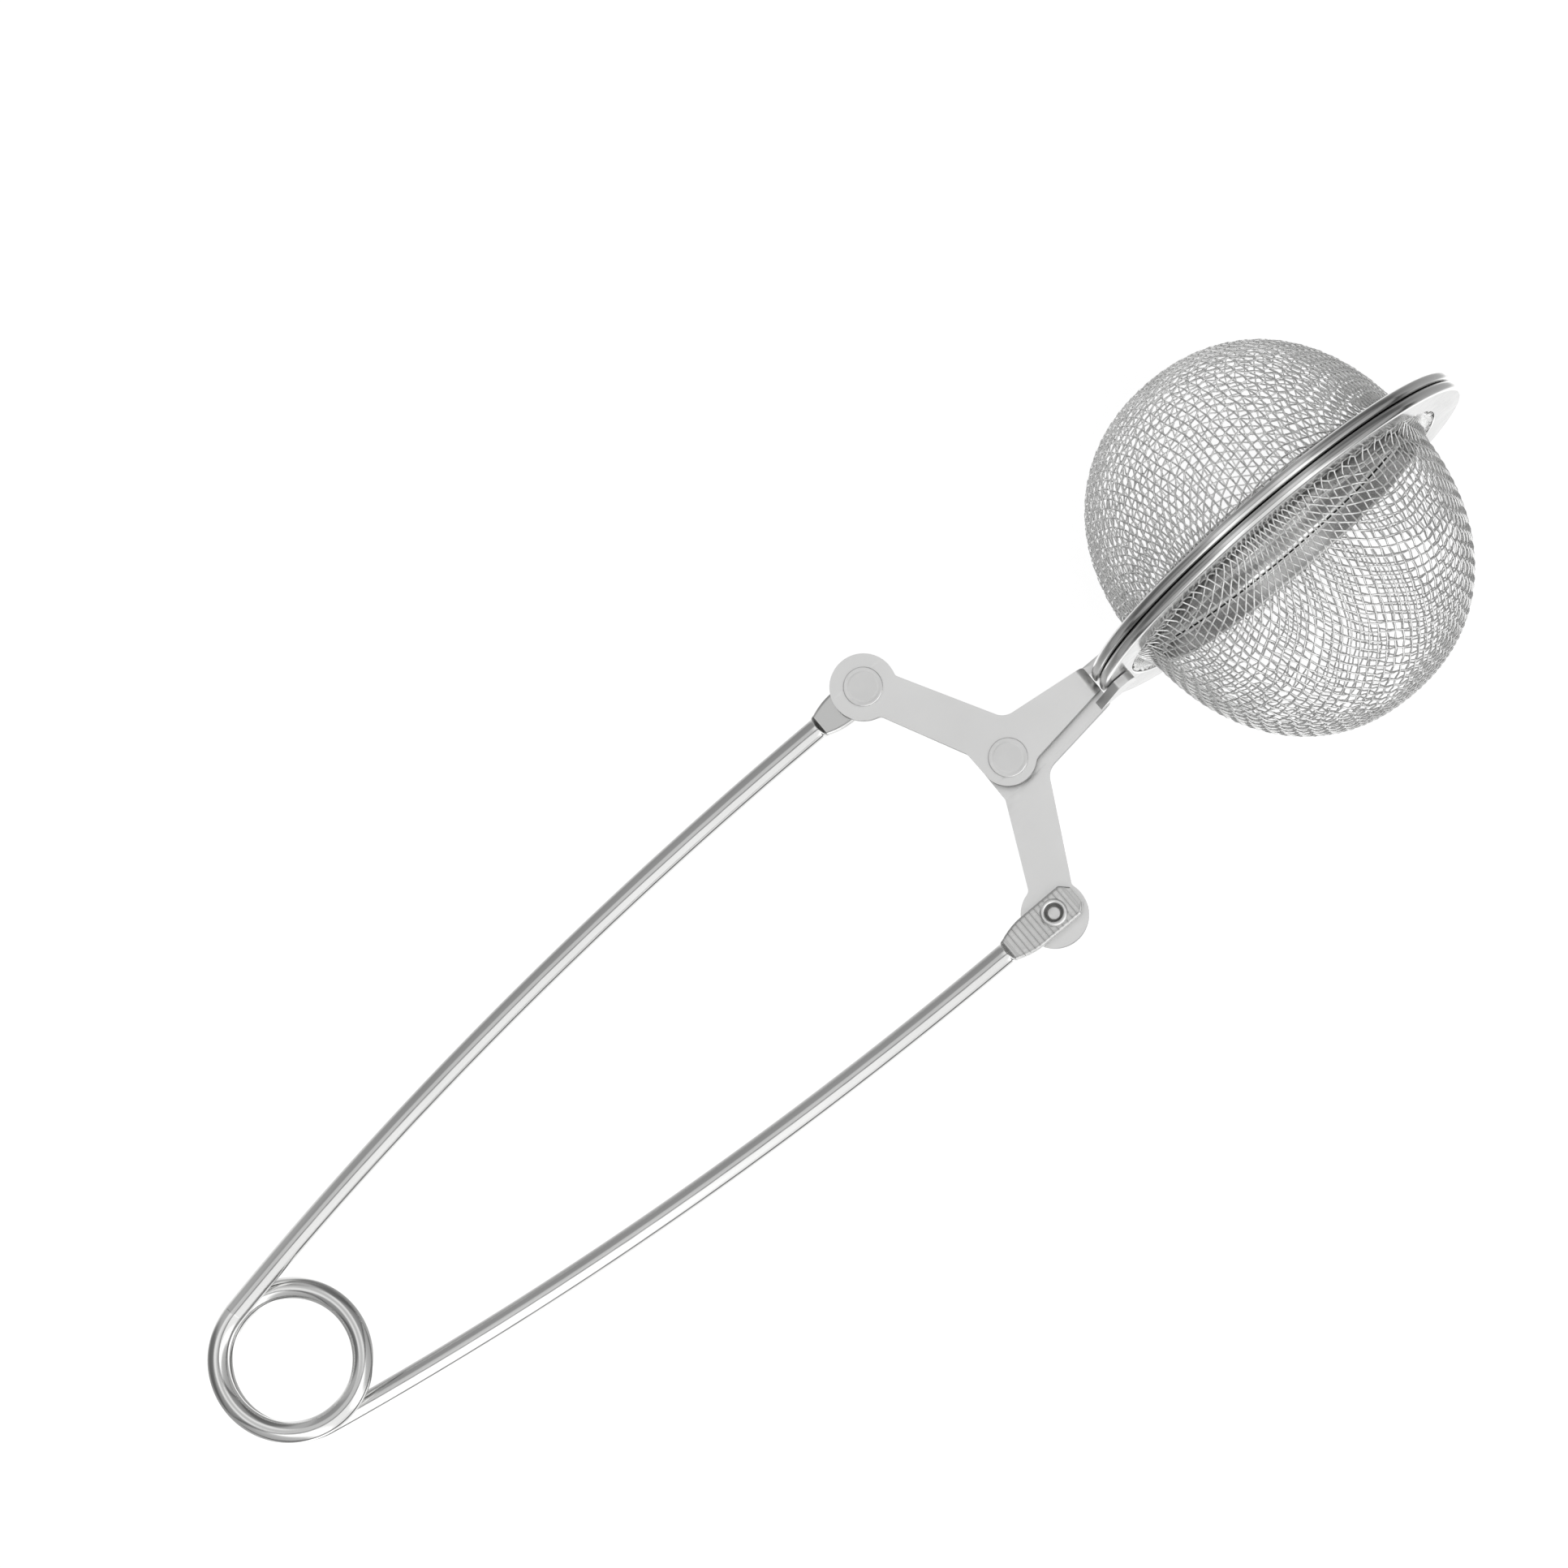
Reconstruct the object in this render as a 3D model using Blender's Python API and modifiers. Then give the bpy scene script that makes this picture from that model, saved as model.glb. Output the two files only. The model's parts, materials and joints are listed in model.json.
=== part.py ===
"""Tea infuser: two woven-wire cups that close into a ball, worked by a sprung wire handle.

The frame: +X runs from the handle's coil to the ball, +Y from the lower cup to the upper cup,
and +Z along the pivot axis. The origin is halfway between the handle's end and the ball's, on
the parting plane.
Two bent levers cross at the pivot. Each carries a rim and its cup at the front, and is riveted
at the back to one flattened end of the handle wire. Squeezing the wire opens the ball.
The lower lever, rim, rivet and wire are the upper ones turned half a turn about the X axis,
and so is the lower cup, but for its depth.
"""
from math import atan2, ceil, copysign, cos, pi, radians, sin, sqrt

import bmesh
import bpy
from mathutils import Matrix, Vector

MM = 0.001

# Handle wire
WIRE_D = 2.4 * MM
COIL_R = 7.9 * MM  # to the middle of the wire
COIL_DISTANCE = 101.8 * MM  # from the pivot back to the coil's centre
COIL_GAP = 0.3 * MM  # between neighbouring turns, and where the wire is parted

# Flattened wire ends
PADDLE_T = 1.2 * MM
PADDLE_W = 4.0 * MM
PADDLE_FLARE = 0.3 * MM  # extra width where the flat begins
PADDLE_BEYOND = 3.1 * MM  # past the rivet
PADDLE_BACK = 4.0 * MM  # from the rivet back to where the flat starts to narrow
PADDLE_NECK = 2.8 * MM  # length of the change from flat to round
PADDLE_CHAMFER = 0.9 * MM
PADDLE_SQUARENESS = 6.0  # superellipse power of the flat section
ROUND = 2.0  # superellipse power of a circle

# Levers
LEVER_T = 1.0 * MM
LAYER_GAP = 0.25 * MM  # between the two levers, and between a lever and a wire end
REAR_ARM = 17.7 * MM  # pivot to handle rivet
REAR_ANGLE = radians(113.6)  # of the upper lever's rear arm, from +X
END_R = 3.7 * MM
BOSS_R = 3.1 * MM
ARM_FRONT = 2.45 * MM  # arm edge to the line between pivot and rivet, ball side, at the rivet
ARM_BACK = 2.15 * MM  # the same on the handle side
CROTCH = Vector((2.5, 3.65)) * MM  # inner corner between the rear arm and the tip
CROTCH_FILLET = 2.0 * MM
HEEL = Vector((-3.15, 3.15)) * MM  # outer corner where the rear arm leaves the boss
HEEL_FILLET = 0.8 * MM
NECK_FILLET = 1.2 * MM
NOTCH_FILLET = 0.8 * MM
TIP_REACH = 12.45 * MM  # from the pivot to the end of the tip
TIP_GAP = 0.15 * MM  # between the tip's end and the rim's outer edge
TIP_LOW = -0.72 * MM
TIP_LOW_RISE = 0.133  # slope of the tip's lower edge
TIP_FILLET = 0.35 * MM
LEVER_BEVEL = 0.12 * MM
TAB_LENGTH = 3.6 * MM  # past the lever's tip, along the rim
TAB_ROOT = 1.5 * MM  # of the tab inside the tip
TAB_WIDTH = 4.7 * MM
TAB_CORNER = 1.1 * MM
TAB_INSET = 0.1 * MM  # of the tab's top below the lever's face

# Rivets
SHANK_R = 1.3 * MM
HOLE_CLEARANCE = 0.15 * MM
HEAD_R = 2.17 * MM
HEAD_H = 0.4 * MM
HEAD_CHAMFER = 0.2 * MM
SEAT_GAP = 0.1 * MM  # under a head and under a rolled end
ROLL_R = 1.65 * MM
ROLL_H = 0.5 * MM
ROLL_ROUND = 0.22 * MM
BORE_R = 0.75 * MM
BORE_DEPTH = 1.5 * MM

# Rims
RIM_R = 25.4 * MM
RIM_W = 7.4 * MM  # from the outer edge in to the mouth
RIM_GAP = 0.15 * MM  # from the parting plane to each rim
RIM_T = 1.15 * MM  # over the folded outer edge
SHEET_T = 0.5 * MM
EDGE_ROUND = 0.5 * MM
HEM_W = 4.0 * MM  # of the folded edge
COLLAR_DEPTH = 2.45 * MM  # from the rim's flat face
MOUTH_ROUND = 0.9 * MM

# Woven cups
CUP_T = 0.5 * MM  # two wires deep
CUP_ROUND_COLLAR = 0.3 * MM  # clearance from the collar to the cup's wall
UPPER_CUP_DEPTH = 21.7 * MM  # from the parting plane to the pole
LOWER_CUP_DEPTH = 23.0 * MM
CUP_POWER = 2.2  # superellipse power of the cup's section
CUP_START = 2.7 * MM  # depth where the wall meets the flare
CUP_GAP = 0.12 * MM  # between the cup's edge and the rim's sheet
BRIM_CLEAR = 0.25 * MM  # between the cup's edge and the folded hem
WELD_GAP = 0.1 * MM  # between the rim and the tab

# Fineness
ROUND_STEPS = 36
RIVET_STEPS = 18
ARC_STEP = radians(22.5)
COIL_STEP = radians(14)
COIL_CORNERS = 2
NECK_STEPS = 3
ARM_POINTS = 18
WIRE_SIDES = 12
CUP_POINTS = 8
MERGE = 0.001 * MM
SHARP_ANGLE = radians(40)

WIRE_R = WIRE_D / 2
HOLE_R = SHANK_R + HOLE_CLEARANCE
COIL_PITCH = WIRE_D + COIL_GAP
RIM_CENTRE = TIP_REACH + TIP_GAP + RIM_R
COLLAR_R = RIM_R - RIM_W
CUP_R = COLLAR_R + SHEET_T + CUP_ROUND_COLLAR + CUP_T
FLANGE_TOP = RIM_GAP + RIM_T
TAB_LOW = FLANGE_TOP + WELD_GAP
TAB_HIGH = TAB_LOW + LEVER_T
LEVER_LOW = LAYER_GAP / 2
LEVER_HIGH = LEVER_LOW + LEVER_T
PADDLE_MIDDLE = -LAYER_GAP / 2 - PADDLE_T / 2
FRONT_END = RIM_CENTRE + RIM_R
BACK_END = COIL_DISTANCE + COIL_R + WIRE_R
PIVOT = Vector(((BACK_END - FRONT_END) / 2, 0, 0))
RIVET_XY = Vector((cos(REAR_ANGLE), sin(REAR_ANGLE))) * REAR_ARM


def clear_scene():
    for thing in list(bpy.data.objects):
        bpy.data.objects.remove(thing, do_unlink=True)


def make_collection(name):
    group = bpy.data.collections.new(name)
    bpy.context.scene.collection.children.link(group)
    return group


def steel(name, colour, roughness):
    material = bpy.data.materials.new(name)
    material.use_nodes = True
    shader = material.node_tree.nodes["Principled BSDF"]
    shader.inputs["Base Color"].default_value = (*colour, 1)
    shader.inputs["Metallic"].default_value = 1.0
    shader.inputs["Roughness"].default_value = roughness
    return material


def frame_empty(name, group, place, turned_over=False):
    """A parent on a joint's axis. Turned over, it carries a lower piece."""
    empty = bpy.data.objects.new(name, None)
    empty.location = place
    empty.rotation_euler = (pi if turned_over else 0, 0, 0)
    empty.empty_display_size = 5 * MM
    group.objects.link(empty)
    return empty


def place_object(name, mesh, group, parent, material, matrix=None):
    thing = bpy.data.objects.new(name, mesh)
    if not mesh.materials:
        mesh.materials.append(material)
    group.objects.link(thing)
    thing.parent = parent
    if matrix:
        thing.matrix_local = matrix
    return thing


def flat_copy(thing):
    """The object's mesh as evaluated, welded, with the object removed."""
    bpy.context.view_layer.update()
    graph = bpy.context.evaluated_depsgraph_get()
    mesh = bpy.data.meshes.new_from_object(thing.evaluated_get(graph))
    bpy.data.objects.remove(thing, do_unlink=True)
    work = bmesh.new()
    work.from_mesh(mesh)
    bmesh.ops.remove_doubles(work, verts=work.verts, dist=MERGE)
    work.to_mesh(mesh)
    work.free()
    return mesh


def arc(centre, radius, start, end):
    """Points on an arc from one angle to another, both ends included."""
    count = max(1, ceil(abs(end - start) / ARC_STEP))
    angles = (start + (end - start) * i / count for i in range(count + 1))
    return [centre + Vector((cos(a), sin(a))) * radius for a in angles]


def angle_of(vector):
    return atan2(vector.y, vector.x)


def short_arc(centre, radius, first, last):
    """The arc under half a turn from one point to another."""
    start = angle_of(first - centre)
    sweep = (angle_of(last - centre) - start + pi) % (2 * pi) - pi
    return arc(centre, radius, start, start + sweep)


def rounded_corner(before, corner, after, radius):
    """A fillet arc at a corner between two straight edges."""
    back = (before - corner).normalized()
    onward = (after - corner).normalized()
    half = back.angle(onward) / 2
    centre = corner + (back + onward).normalized() * radius / sin(half)
    reach = radius * cos(half) / sin(half)
    return short_arc(centre, radius, corner + back * reach, corner + onward * reach)


def disc_fillet(point, away, outside, centre, radius, fillet):
    """The hollow fillet between a straight edge and a disc, from the edge to the disc."""
    shifted = point + outside * fillet - centre
    along = shifted.dot(away)
    apart = sqrt(along ** 2 - shifted.length_squared + (radius + fillet) ** 2)
    middle = centre + shifted + away * (apart - along)
    on_disc = centre + (middle - centre) * radius / (radius + fillet)
    return short_arc(middle, fillet, middle - outside * fillet, on_disc)


def lever_outline():
    """The upper lever round its pivot, counter-clockwise."""
    origin = Vector((0, 0))
    along = RIVET_XY.normalized()
    across = Vector((-along.y, along.x))
    front_edge = RIVET_XY - across * ARM_FRONT
    back_edge = RIVET_XY + across * ARM_BACK
    front_down = (CROTCH - front_edge).normalized()
    back_down = (HEEL - back_edge).normalized()
    tip_low = Vector((TIP_REACH, TIP_LOW))
    tip_high = Vector((TIP_REACH, TAB_HIGH))
    tip_back = Vector((-1, -TIP_LOW_RISE)).normalized()
    tip_outside = Vector((tip_back.y, -tip_back.x)) * -1
    boss_side = Vector((-BOSS_R, 0))

    front_notch = disc_fillet(
        front_edge, front_down, Vector((-front_down.y, front_down.x)), RIVET_XY, END_R, NOTCH_FILLET
    )
    back_notch = disc_fillet(
        back_edge, back_down, Vector((back_down.y, -back_down.x)), RIVET_XY, END_R, NOTCH_FILLET
    )
    neck = disc_fillet(tip_low, -tip_back, tip_outside, origin, BOSS_R, NECK_FILLET)

    end_start = angle_of(front_notch[-1] - RIVET_XY)
    end_stop = angle_of(back_notch[-1] - RIVET_XY) % (2 * pi)
    boss_stop = angle_of(neck[-1]) % (2 * pi)

    points = rounded_corner(neck[0], tip_low, tip_high, TIP_FILLET)
    points += rounded_corner(tip_low, tip_high, CROTCH, TIP_FILLET)
    points += rounded_corner(tip_high, CROTCH, front_notch[0], CROTCH_FILLET)
    points += front_notch[:-1]
    points += arc(RIVET_XY, END_R, end_start, end_stop)
    points += back_notch[::-1][1:]
    points += rounded_corner(back_notch[0], HEEL, boss_side, HEEL_FILLET)
    points += arc(origin, BOSS_R, pi, boss_stop)
    points += neck[::-1][1:]
    return points


def circle(centre, radius):
    return arc(centre, radius, 0, 2 * pi)[:-1]


def plate(name, outline, holes, thickness):
    """A flat plate in XY, centred on z = 0, from a filled 2D curve."""
    curve = bpy.data.curves.new(name, "CURVE")
    curve.dimensions = "2D"
    curve.fill_mode = "BOTH"
    curve.extrude = thickness / 2
    for ring in [outline, *holes]:
        spline = curve.splines.new("POLY")
        spline.points.add(len(ring) - 1)
        for point, place in zip(spline.points, ring):
            point.co = (place.x, place.y, 0, 1)
        spline.use_cyclic_u = True
    thing = bpy.data.objects.new(name, curve)
    bpy.context.scene.collection.objects.link(thing)
    return flat_copy(thing)


def tab_mesh():
    """The folded tab that is welded to the rim, lying in the XZ plane."""
    low = TIP_REACH - TAB_ROOT
    high = TIP_REACH + TAB_LENGTH
    top = LEVER_HIGH - TAB_INSET
    bottom = top - TAB_WIDTH
    corners = [Vector((low, bottom)), Vector((high, bottom)), Vector((high, top)), Vector((low, top))]
    outline = corners[:1]
    outline += rounded_corner(corners[0], corners[1], corners[2], TAB_CORNER)
    outline += rounded_corner(corners[1], corners[2], corners[3], TAB_CORNER)
    outline += corners[3:]
    mesh = plate("tab", outline, [], LEVER_T)
    middle = Vector((0, TAB_LOW + LEVER_T / 2, 0))
    mesh.transform(Matrix.Translation(middle) @ Matrix.Rotation(pi / 2, 4, "X"))
    return mesh


def lever_mesh():
    holes = [circle(Vector((0, 0)), HOLE_R), circle(RIVET_XY, HOLE_R)]
    mesh = plate("lever", lever_outline(), holes, LEVER_T)
    mesh.transform(Matrix.Translation((0, 0, LEVER_LOW + LEVER_T / 2)))
    body = bpy.data.objects.new("lever_body", mesh)
    tab = bpy.data.objects.new("lever_tab", tab_mesh())
    for thing in (body, tab):
        bpy.context.scene.collection.objects.link(thing)
    join = body.modifiers.new("join_tab", "BOOLEAN")
    join.operation = "UNION"
    join.solver = "EXACT"
    join.object = tab
    soften = body.modifiers.new("soften", "BEVEL")
    soften.width = LEVER_BEVEL
    soften.segments = 1
    soften.limit_method = "ANGLE"
    soften.angle_limit = SHARP_ANGLE
    joined = flat_copy(body)
    bpy.data.objects.remove(tab, do_unlink=True)
    return joined


def turned(name, profile, steps, closed):
    """A profile in XZ, at +X and running down its outer side, with a Screw modifier about Z."""
    mesh = bpy.data.meshes.new(name)
    edges = [(i, i + 1) for i in range(len(profile) - 1)]
    if closed:
        edges.append((len(profile) - 1, 0))
    mesh.from_pydata([(p.x, 0, p.y) for p in profile], edges, [])
    thing = bpy.data.objects.new(name, mesh)
    bpy.context.scene.collection.objects.link(thing)
    screw = thing.modifiers.new("turn", "SCREW")
    screw.steps = steps
    screw.render_steps = steps
    screw.use_merge_vertices = True
    screw.merge_threshold = MERGE
    result = flat_copy(thing)
    result.shade_smooth()
    result.set_sharp_from_angle(angle=SHARP_ANGLE)
    return result


def rivet_mesh(name, low):
    """A rivet with its flat head over the upper lever and its rolled hollow end below low."""
    head_low = LEVER_HIGH + SEAT_GAP
    head_high = head_low + HEAD_H
    roll_high = low - SEAT_GAP
    roll_low = roll_high - ROLL_H
    outer = Vector((ROLL_R - ROLL_ROUND, roll_low + ROLL_ROUND))
    inner = Vector((BORE_R + ROLL_ROUND, roll_low + ROLL_ROUND))
    profile = [
        Vector((0, head_high)),
        Vector((HEAD_R - HEAD_CHAMFER, head_high)),
        Vector((HEAD_R, head_high - HEAD_CHAMFER)),
        Vector((HEAD_R, head_low)),
        Vector((SHANK_R, head_low)),
        Vector((SHANK_R, roll_high)),
        Vector((ROLL_R, roll_high)),
    ]
    profile += arc(outer, ROLL_ROUND, 0, -pi / 2)
    profile += arc(inner, ROLL_ROUND, -pi / 2, -pi)
    profile += [Vector((BORE_R, roll_low + BORE_DEPTH)), Vector((0, roll_low + BORE_DEPTH))]
    return turned(name, profile, RIVET_STEPS, False)


def rim_mesh():
    """The rim about Z, its flat face near z = 0 and its collar standing up into the cup."""
    low = RIM_GAP
    sheet = low + SHEET_T
    hem_r = RIM_R - HEM_W
    collar_top = low + COLLAR_DEPTH
    collar_out = COLLAR_R + SHEET_T
    root = MOUTH_ROUND - SHEET_T
    edge = RIM_R - EDGE_ROUND
    profile = [Vector((hem_r, FLANGE_TOP))]
    profile += arc(Vector((edge, FLANGE_TOP - EDGE_ROUND)), EDGE_ROUND, pi / 2, 0)
    profile += arc(Vector((edge, low + EDGE_ROUND)), EDGE_ROUND, 0, -pi / 2)
    profile += arc(Vector((COLLAR_R + MOUTH_ROUND, low + MOUTH_ROUND)), MOUTH_ROUND, -pi / 2, -pi)
    profile += [Vector((COLLAR_R, collar_top)), Vector((collar_out, collar_top))]
    profile += arc(Vector((collar_out + root, sheet + root)), root, pi, 3 * pi / 2)
    profile += [Vector((hem_r, sheet))]
    return turned("rim", profile, ROUND_STEPS, True)


def cup_curve(radius, depth):
    """The cup's section from its pole to the start of the flare."""
    power = ROUND / CUP_POWER
    points = []
    for i in range(CUP_POINTS + 1):
        a = pi / 2 * i / CUP_POINTS
        point = Vector((radius * sin(a) ** power, depth * max(cos(a), 0) ** power))
        if point.y > CUP_START:
            points.append(point)
    return points


def cup_mesh(depth):
    """A woven cup about Z as a thin closed shell, its brim under the rim's sheet."""
    brim_low = RIM_GAP + SHEET_T + CUP_GAP
    brim_high = brim_low + CUP_T
    brim_r = RIM_R - HEM_W - BRIM_CLEAR
    bend = CUP_START - brim_high
    centre = Vector((CUP_R + bend, CUP_START))
    profile = cup_curve(CUP_R, depth)
    profile += arc(centre, bend, pi, 3 * pi / 2)
    profile += [Vector((brim_r, brim_high)), Vector((brim_r, brim_low))]
    profile += arc(centre, bend + CUP_T, 3 * pi / 2, pi)
    profile += cup_curve(CUP_R - CUP_T, depth - CUP_T)[::-1]
    return turned("cup", profile, ROUND_STEPS, False)


def arm_bow():
    """Radius and turn of the arc that leads from a wire end to a tangent on the coil."""
    run = COIL_DISTANCE + RIVET_XY.x - (PADDLE_BACK + PADDLE_NECK)
    rise = RIVET_XY.y - COIL_R
    radius = COIL_R + (run ** 2 + rise ** 2) / (2 * rise)
    return radius, 2 * atan2(rise, run)


def coil_place(angle):
    """A point on the coil's wire, at an angle that starts at +X and grows with each turn."""
    height = COIL_PITCH * (2 * pi - angle) / (2 * pi)
    return Vector((-COIL_DISTANCE + COIL_R * cos(angle), COIL_R * sin(angle), height))


def wire_section(place, ahead, half_w, half_t, power):
    """A ring of points round the wire: a superellipse across the direction it runs in."""
    side = Vector((0, 0, 1)).cross(ahead).normalized()
    up = ahead.cross(side)
    bend = ROUND / power
    ring = []
    for i in range(WIRE_SIDES):
        a = 2 * pi * (i + 0.5) / WIRE_SIDES
        c = copysign(abs(cos(a)) ** bend, cos(a))
        s = copysign(abs(sin(a)) ** bend, sin(a))
        ring.append(place + side * half_w * c + up * half_t * s)
    return ring


def skin(name, rings):
    """A closed solid through rings of equal count, with flat ends."""
    work = bmesh.new()
    loops = [[work.verts.new(p) for p in ring] for ring in rings]
    for first, second in zip(loops, loops[1:]):
        for i in range(len(first)):
            j = (i + 1) % len(first)
            work.faces.new((first[i], first[j], second[j], second[i]))
    work.faces.new(loops[0][::-1])
    work.faces.new(loops[-1])
    bmesh.ops.recalc_face_normals(work, faces=work.faces)
    mesh = bpy.data.meshes.new(name)
    work.to_mesh(mesh)
    work.free()
    return mesh


def between(first, last, share):
    return first + (last - first) * share


def paddle_rings():
    """The flattened end, from past the rivet back to the round wire."""
    half = PADDLE_W / 2
    wide = half + PADDLE_FLARE / 2
    flat_t = PADDLE_T / 2
    stations = [
        (PADDLE_BEYOND, half - PADDLE_CHAMFER, flat_t, PADDLE_SQUARENESS),
        (PADDLE_BEYOND - PADDLE_CHAMFER, half, flat_t, PADDLE_SQUARENESS),
        (0, half, flat_t, PADDLE_SQUARENESS),
    ]
    for step in range(NECK_STEPS):
        share = step / NECK_STEPS
        half_w = between(wide, WIRE_R, share)
        half_t = between(flat_t, WIRE_R, share)
        power = between(PADDLE_SQUARENESS, ROUND, share)
        stations.append((-PADDLE_BACK - PADDLE_NECK * share, half_w, half_t, power))
    behind = Vector((-1, 0, 0))
    rings = []
    for reach, half_w, half_t, power in stations:
        place = Vector((RIVET_XY.x + reach, RIVET_XY.y, PADDLE_MIDDLE))
        rings.append(wire_section(place, behind, half_w, half_t, power))
    return rings


def arm_rings():
    """The bowed arm, from the end of the paddle to the coil."""
    radius, turn = arm_bow()
    start_x = RIVET_XY.x - PADDLE_BACK - PADDLE_NECK
    top = coil_place(pi / 2 + turn).z
    rings = []
    for i in range(ARM_POINTS + 1):
        share = i / ARM_POINTS
        a = turn * share
        ease = share * share * (3 - 2 * share)
        height = between(PADDLE_MIDDLE, top, ease)
        x = start_x - radius * sin(a)
        y = RIVET_XY.y - radius * (1 - cos(a))
        ahead = Vector((-cos(a), -sin(a), 0))
        rings.append(wire_section(Vector((x, y, height)), ahead, WIRE_R, WIRE_R, ROUND))
    return rings


def handle_wire_mesh():
    """One arm of the handle, from its flattened end to the coil, with its rivet hole cut."""
    body = bpy.data.objects.new("arm", skin("arm", paddle_rings() + arm_rings()))
    bpy.ops.mesh.primitive_cylinder_add(
        vertices=RIVET_STEPS,
        radius=HOLE_R,
        depth=PADDLE_T * 4,
        location=(*RIVET_XY, PADDLE_MIDDLE),
    )
    drill = bpy.context.object
    bpy.context.scene.collection.objects.link(body)
    cut = body.modifiers.new("rivet_hole", "BOOLEAN")
    cut.operation = "DIFFERENCE"
    cut.solver = "EXACT"
    cut.object = drill
    mesh = flat_copy(body)
    bpy.data.objects.remove(drill, do_unlink=True)
    mesh.transform(Matrix.Translation((-RIVET_XY.x, -RIVET_XY.y, 0)))
    mesh.shade_smooth()
    mesh.set_sharp_from_angle(angle=SHARP_ANGLE)
    return mesh


def coil_mesh():
    """The coil between the two arms, as a tube along its helix."""
    _, turn = arm_bow()
    parted = COIL_GAP / COIL_R
    start = pi / 2 + turn + parted
    stop = 4 * pi - pi / 2 - turn - parted
    count = ceil((stop - start) / COIL_STEP)
    curve = bpy.data.curves.new("coil", "CURVE")
    curve.dimensions = "3D"
    curve.bevel_depth = WIRE_R
    curve.bevel_resolution = COIL_CORNERS
    curve.use_fill_caps = True
    spline = curve.splines.new("POLY")
    spline.points.add(count)
    for i, point in enumerate(spline.points):
        place = coil_place(start + (stop - start) * i / count)
        point.co = (*place, 1)
    thing = bpy.data.objects.new("coil", curve)
    bpy.context.scene.collection.objects.link(thing)
    mesh = flat_copy(thing)
    mesh.shade_smooth()
    mesh.set_sharp_from_angle(angle=SHARP_ANGLE)
    return mesh


def build():
    clear_scene()
    group = make_collection("tea_infuser")
    satin = steel("satin_sheet", (0.72, 0.72, 0.71), 0.38)
    bright = steel("bright_wire", (0.74, 0.74, 0.73), 0.22)
    polished = steel("polished_rim", (0.76, 0.76, 0.75), 0.18)
    woven = steel("woven_wire", (0.66, 0.66, 0.65), 0.35)
    headed = steel("rivet_steel", (0.70, 0.70, 0.69), 0.30)

    rivet = Vector((*RIVET_XY, 0))
    under = Vector((RIVET_XY.x, -RIVET_XY.y, 0))
    upper = frame_empty("upper_jaw_frame", group, PIVOT)
    lower = frame_empty("lower_jaw_frame", group, PIVOT, turned_over=True)
    upper_grip = frame_empty("upper_handle_frame", group, PIVOT + rivet)
    lower_grip = frame_empty("lower_handle_frame", group, PIVOT + under, turned_over=True)

    stand = Matrix.Translation((RIM_CENTRE, 0, 0)) @ Matrix.Rotation(-pi / 2, 4, "X")
    at_rivet = Matrix.Translation(rivet)
    lever, rim = lever_mesh(), rim_mesh()
    end_rivet = rivet_mesh("handle_rivet", PADDLE_MIDDLE - PADDLE_T / 2)
    for side, parent, depth in (("upper", upper, UPPER_CUP_DEPTH), ("lower", lower, LOWER_CUP_DEPTH)):
        place_object(side + "_lever", lever, group, parent, satin)
        place_object(side + "_rim", rim, group, parent, polished, stand)
        place_object(side + "_mesh_cup", cup_mesh(depth), group, parent, woven, stand)
        place_object(side + "_handle_rivet", end_rivet, group, parent, headed, at_rivet)
    turned_back = Matrix.Rotation(pi, 4, "X")
    pivot_rivet = rivet_mesh("pivot_rivet", -LEVER_HIGH)
    place_object("pivot_rivet", pivot_rivet, group, lower, headed, turned_back)

    wire = handle_wire_mesh()
    place_object("upper_handle_wire", wire, group, upper_grip, bright)
    place_object("lower_handle_wire", wire, group, lower_grip, bright)
    from_rivet = Matrix.Translation(-rivet)
    place_object("coil_spring", coil_mesh(), group, lower_grip, bright, from_rivet)


build()
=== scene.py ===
import json
from math import atan2, ceil, cos, pi, radians, sin, sqrt

import bmesh
import bpy
import numpy as np
from mathutils import Matrix, Vector


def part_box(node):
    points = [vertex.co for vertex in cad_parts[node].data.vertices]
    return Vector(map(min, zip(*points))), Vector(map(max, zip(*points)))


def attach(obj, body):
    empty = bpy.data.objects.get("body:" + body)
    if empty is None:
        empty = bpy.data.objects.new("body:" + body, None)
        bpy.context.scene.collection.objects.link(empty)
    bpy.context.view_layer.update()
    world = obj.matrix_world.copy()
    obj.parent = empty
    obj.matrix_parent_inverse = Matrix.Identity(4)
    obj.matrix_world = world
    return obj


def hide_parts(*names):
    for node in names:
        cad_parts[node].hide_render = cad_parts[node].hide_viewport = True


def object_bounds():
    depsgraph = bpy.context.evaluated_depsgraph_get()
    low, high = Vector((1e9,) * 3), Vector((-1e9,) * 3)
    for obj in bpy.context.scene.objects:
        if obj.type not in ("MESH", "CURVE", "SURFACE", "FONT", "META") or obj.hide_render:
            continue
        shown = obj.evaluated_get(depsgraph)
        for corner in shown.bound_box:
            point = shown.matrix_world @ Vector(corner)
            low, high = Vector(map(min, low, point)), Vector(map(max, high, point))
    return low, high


# The looks of the tea infuser: woven cups, rims, rivets, handle wire and levers, in metres.
# Upper pieces are made where they lie. Each lower piece is made the same way and turned half a
# turn about the X axis, as in the CAD model.

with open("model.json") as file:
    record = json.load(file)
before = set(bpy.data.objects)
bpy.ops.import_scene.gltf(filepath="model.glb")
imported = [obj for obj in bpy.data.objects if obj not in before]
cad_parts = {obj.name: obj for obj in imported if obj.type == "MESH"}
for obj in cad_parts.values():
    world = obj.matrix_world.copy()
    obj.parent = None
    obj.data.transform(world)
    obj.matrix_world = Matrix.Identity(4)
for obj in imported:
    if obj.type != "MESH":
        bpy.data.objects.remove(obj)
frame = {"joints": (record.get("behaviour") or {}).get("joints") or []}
cad_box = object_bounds()

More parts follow.
